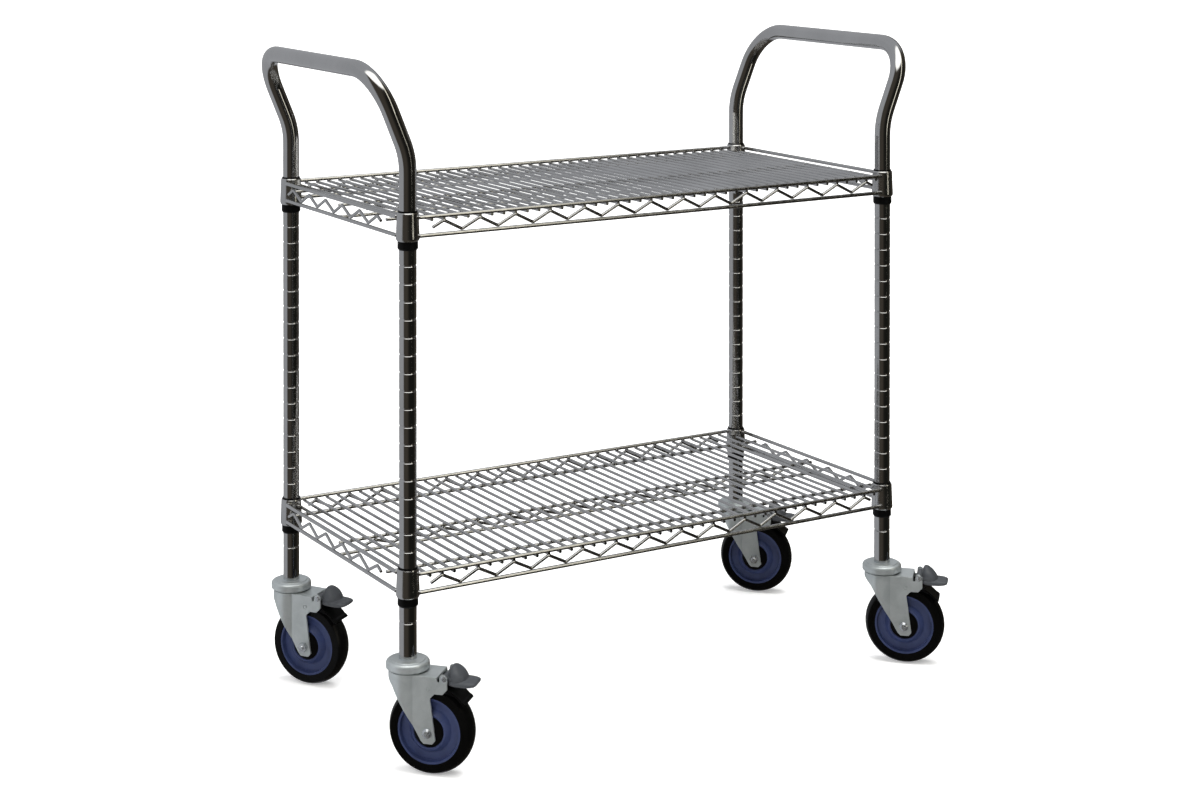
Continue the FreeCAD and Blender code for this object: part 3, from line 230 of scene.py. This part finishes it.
for node_name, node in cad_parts.items():
    for beginning, (slot_name, material) in FINISHES.items():
        if node_name.startswith(beginning):
            paint(node, material)


# ---------------------------------------------------------------- moulded brake pedals

# each caster's swivel axis in plan, and its heading in degrees
SWIVELS = {
    "a": (-0.432, -0.203, -47.0),
    "b": (-0.432, 0.203, -55.5),
    "c": (0.432, -0.203, -44.0),
    "d": (0.432, 0.203, -45.0),
}
PIN_AHEAD = 0.0617        # pedal pin ahead of the swivel axis
HUB_HEIGHT = 0.1415       # 1 mm below the middle of the pin
WEB_HEIGHT = 0.1395
WEB_HALF_WIDTH = 0.0175
RING_POINTS = 16
AHEAD = Vector((1, 0, 0))
ACROSS = Vector((0, 1, 0))
UP = Vector((0, 0, 1))


def soft_ring(centre, half_along, half_across, corner=3.2):
    """A closed ring shaped between an ellipse and a rectangle; half_along is a vector."""
    ring = []
    for number in range(RING_POINTS):
        angle = 2 * math.pi * (number + 0.5) / RING_POINTS
        along_part = math.copysign(abs(math.cos(angle)) ** (2 / corner), math.cos(angle))
        across_part = math.copysign(abs(math.sin(angle)) ** (2 / corner), math.sin(angle))
        ring.append(centre + half_along * along_part + ACROSS * (half_across * across_part))
    return ring


def hub_ring(side, radius):
    """A circle of the hub that hides the pedal's pin; side is measured from the caster's middle."""
    ring = []
    for number in range(RING_POINTS):
        angle = 2 * math.pi * number / RING_POINTS
        ring.append(Vector((PIN_AHEAD + radius * math.cos(angle), side,
                            HUB_HEIGHT + radius * math.sin(angle))))
    return ring


def loft(shape, rings):
    """Skins a row of rings and closes both ends."""
    rows = [[shape.verts.new(point) for point in ring] for ring in rings]
    for first, second in zip(rows, rows[1:]):
        for number in range(RING_POINTS):
            after = (number + 1) % RING_POINTS
            shape.faces.new((first[number], first[after], second[after], second[number]))
    shape.faces.new(list(reversed(rows[0])))
    shape.faces.new(rows[-1])


def pedal_shape():
    """Foot pad, release tab, hub and web of one pedal, around its swivel axis."""
    shape = bmesh.new()

    # the foot pad's rings face along it: (ahead, height, half thickness, half width)
    pad_stations = ((0.0640, 0.1346, 0.0040, 0.0165), (0.0690, 0.1344, 0.0050, 0.0192),
                    (0.0800, 0.1340, 0.0056, 0.0194), (0.0930, 0.1340, 0.0052, 0.0193),
                    (0.1010, 0.1342, 0.0042, 0.0178), (0.1048, 0.1344, 0.0028, 0.0150),
                    (0.1058, 0.1345, 0.0010, 0.0120))
    loft(shape, [soft_ring(Vector((ahead, 0, height)), UP * half_thick, half_wide)
                 for ahead, height, half_thick, half_wide in pad_stations])

    # the release tab's rings lie level and shrink to its tip: (height, ahead, half length, half width)
    tab_stations = ((0.1330, 0.0770, 0.0148, 0.0180), (0.1385, 0.0768, 0.0140, 0.0188),
                    (0.1450, 0.0755, 0.0118, 0.0184), (0.1505, 0.0738, 0.0086, 0.0158),
                    (0.1545, 0.0722, 0.0054, 0.0112), (0.1566, 0.0714, 0.0034, 0.0072),
                    (0.1573, 0.0711, 0.0014, 0.0034))
    tab_corner = 2.6
    loft(shape, [soft_ring(Vector((ahead, 0, height)), AHEAD * half_long, half_wide, tab_corner)
                 for height, ahead, half_long, half_wide in tab_stations])

    # the hub's rings are circles around the pin: (side, radius)
    hub_stations = ((-0.0190, 0.0036), (-0.0182, 0.0048), (0.0, 0.0050), (0.0182, 0.0048),
                    (0.0190, 0.0036))
    loft(shape, [hub_ring(side, radius) for side, radius in hub_stations])

    # a web joins the hub to the pad and the tab: (ahead, half thickness)
    web_stations = ((0.0625, 0.0045), (0.0700, 0.0050), (0.0760, 0.0060))
    loft(shape, [soft_ring(Vector((ahead, 0, WEB_HEIGHT)), UP * half_thick, WEB_HALF_WIDTH)
                 for ahead, half_thick in web_stations])
    bmesh.ops.recalc_face_normals(shape, faces=shape.faces)
    return shape


def moulded_pedal(letter):
    """The smooth pedal of one caster, in place of the plain CAD one."""
    shape = pedal_shape()
    mesh = bpy.data.meshes.new("moulded_pedal_" + letter)
    shape.to_mesh(mesh)
    shape.free()
    mesh.shade_smooth()
    pedal = bpy.data.objects.new("moulded_pedal_" + letter, mesh)
    bpy.context.scene.collection.objects.link(pedal)
    smoothing = pedal.modifiers.new("smoothing", "SUBSURF")
    smoothing.levels = 2
    smoothing.render_levels = 2
    place_x, place_y, heading = SWIVELS[letter]
    turn = Matrix.Rotation(math.radians(heading), 4, "Z")
    pedal.matrix_world = Matrix.Translation((place_x, place_y, 0)) @ turn
    paint(pedal, PEDAL_PLASTIC)
    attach(pedal, "pedal_body_" + letter)
    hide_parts("brake_pedal_" + letter)


for corner_letter in SWIVELS:
    moulded_pedal(corner_letter)


# ---------------------------------------------------------------- stage, light and camera

LAMP_TARGET = Vector((0, 0, 0.4))

# the room that the metal mirrors; colours above 1 are brighter than white
CORNER_WAY = Vector((0.83, -0.55, 0))     # toward the dark corner, for a camera looking along +Y
CORNER_MIDDLE = (0.012, 0.012, 0.010)
AROUND_CORNER = (0.060, 0.052, 0.042)
WALLS = (0.40, 0.41, 0.43)
CEILING = (0.42, 0.43, 0.45)
WINDOW = (1.50, 1.42, 1.18)
CEILING_LAMP = (1.9, 1.88, 1.80)
SEEN_BY_CAMERA = (1.0, 1.0, 1.0)


def stage_floor():
    """A pale floor that turns into plain white light away from the cart."""
    mesh = bpy.data.meshes.new("floor")
    half = 50.0
    corners = [(-half, -half, 0), (half, -half, 0), (half, half, 0), (-half, half, 0)]
    mesh.from_pydata(corners, [], [(0, 1, 2, 3)])
    floor = bpy.data.objects.new("floor", mesh)
    bpy.context.scene.collection.objects.link(floor)
    finish = Finish("pale_floor")
    finish.feed("Base Color", finish.ramp(finish.noise(3.0), [(0.3, grey(0.86)), (0.7, grey(0.88))]))
    finish.set(Roughness=0.8, Emission_Color=(1.0, 1.0, 1.0, 1.0))
    distance = finish.nodes.new("ShaderNodeVectorMath")
    distance.operation = "LENGTH"
    finish.links.new(finish.coordinates, distance.inputs[0])
    glow = finish.spread(distance.outputs["Value"], low=0.34, high=1.0, start=0.7, end=2.2)
    finish.feed("Emission Strength", glow)
    paint(floor, finish.material)
    floor.visible_glossy = False


def softbox(name, centre, width, height, watts):
    """A white lamp aimed at the cart, which the camera doesn't see and the metal doesn't mirror."""
    light = bpy.data.lights.new(name, "AREA")
    light.shape = "RECTANGLE"
    light.size = width
    light.size_y = height
    light.energy = watts
    lamp = bpy.data.objects.new(name, light)
    lamp.location = centre
    lamp.rotation_euler = (LAMP_TARGET - Vector(centre)).to_track_quat("-Z", "Y").to_euler()
    bpy.context.scene.collection.objects.link(lamp)
    lamp.visible_camera = False
    lamp.visible_glossy = False


def studio_world():
    """White for the camera; what the metal mirrors is a grey room with a dark front right corner."""
    world = bpy.data.worlds.new("studio")
    world.use_nodes = True
    bpy.context.scene.world = world
    nodes = world.node_tree.nodes
    links = world.node_tree.links
    background = nodes["Background"]

    def combine(operation, first, second):
        maths = nodes.new("ShaderNodeMath")
        maths.operation = operation
        links.new(first, maths.inputs[0])
        links.new(second, maths.inputs[1])
        return maths.outputs[0]

    def smooth(source, start, end):
        """0 where source is start, 1 where it is end, with a soft step between."""
        spread = nodes.new("ShaderNodeMapRange")
        spread.interpolation_type = "SMOOTHSTEP"
        spread.inputs["From Min"].default_value = start
        spread.inputs["From Max"].default_value = end
        links.new(source, spread.inputs["Value"])
        return spread.outputs["Result"]

    def between(source, start, full, fading, end):
        """A band of source: full from full to fading, and gone at start and end."""
        return combine("MULTIPLY", smooth(source, start, full), smooth(source, end, fading))

    def blend(amount, first, second):
        """From first to second as amount goes from 0 to 1; each is a colour or a socket."""
        mix = nodes.new("ShaderNodeMix")
        mix.data_type = "RGBA"
        colours = [socket for socket in mix.inputs if socket.type == "RGBA"]
        for socket, given in zip(colours, (first, second)):
            if isinstance(given, tuple):
                socket.default_value = (*given, 1.0)
            else:
                links.new(given, socket)
        links.new(amount, mix.inputs["Factor"])
        return [socket for socket in mix.outputs if socket.type == "RGBA"][0]

    direction = nodes.new("ShaderNodeTexCoord").outputs["Generated"]
    split = nodes.new("ShaderNodeSeparateXYZ")
    links.new(direction, split.inputs[0])
    right, back, up = (split.outputs[axis] for axis in "XYZ")

    # the dark corner at the front right: almost black in its middle and a little browner around it
    corner = nodes.new("ShaderNodeVectorMath")
    corner.operation = "DOT_PRODUCT"
    links.new(direction, corner.inputs[0])
    corner.inputs[1].default_value = Matrix.Rotation(math.radians(CAMERA_TURN), 3, "Z") @ CORNER_WAY
    toward_corner = corner.outputs["Value"]
    room = blend(smooth(toward_corner, 0.9, 0.4), CORNER_MIDDLE, AROUND_CORNER)

    # grey walls on the side away from that corner, and the ceiling, which reaches lower at the back
    room = blend(smooth(toward_corner, -0.20, -0.42), room, WALLS)
    low_ceiling = combine("MULTIPLY", smooth(up, 0.38, 0.62), smooth(back, -0.10, 0.20))
    ceiling = combine("MAXIMUM", low_ceiling, smooth(up, 0.74, 0.88))
    room = blend(ceiling, room, CEILING)

    # a tall cream window at the front, and a lamp on the ceiling
    window = combine("MULTIPLY", between(right, 0.37, 0.41, 0.475, 0.545), smooth(up, -0.14, -0.08))
    window = combine("MULTIPLY", window, smooth(back, -0.05, -0.25))
    room = blend(window, room, WINDOW)
    lamp = combine("MULTIPLY", between(right, -0.70, -0.58, 0.40, 0.52), smooth(up, 0.68, 0.80))
    lamp = combine("MULTIPLY", lamp, between(back, -0.80, -0.70, 0.02, 0.16))
    room = blend(lamp, room, CEILING_LAMP)
    camera_ray = nodes.new("ShaderNodeLightPath").outputs["Is Camera Ray"]
    colour = blend(camera_ray, room, SEEN_BY_CAMERA)
    links.new(colour, background.inputs["Color"])


def set_camera():
    """A camera with an upright picture plane that looks down on the cart, so the posts stay parallel."""
    turn = Matrix.Rotation(math.radians(CAMERA_TURN), 3, "Z")
    lean = Matrix.Rotation(math.radians(90 - PLANE_DOWN), 3, "X")
    plane = turn @ lean
    right, up, back = plane.col
    way = right * LENS_RIGHT - up * LENS_DOWN - back
    upright = Matrix((right, up, -way.normalized())).transposed().to_4x4()

    camera_data = bpy.data.cameras.new("camera")
    camera_data.sensor_width = SENSOR_WIDTH
    camera_data.lens = SENSOR_WIDTH * FOCAL_LENGTH * way.length
    camera_data.clip_end = 60.0
    camera = bpy.data.objects.new("camera", camera_data)
    mount = bpy.data.objects.new("camera_mount", None)
    bpy.context.scene.collection.objects.link(mount)
    bpy.context.scene.collection.objects.link(camera)
    camera.parent = mount
    camera.matrix_parent_inverse = Matrix.Translation(CAMERA_AT) @ upright
    bpy.context.scene.camera = camera


stage_floor()
studio_world()
softbox("overhead", centre=(0.3, -0.2, 3.2), width=2.6, height=2.0, watts=120)
softbox("front_left", centre=(-2.4, -1.8, 1.9), width=1.4, height=1.4, watts=60)
set_camera()
bpy.context.scene.view_settings.view_transform = "Standard"
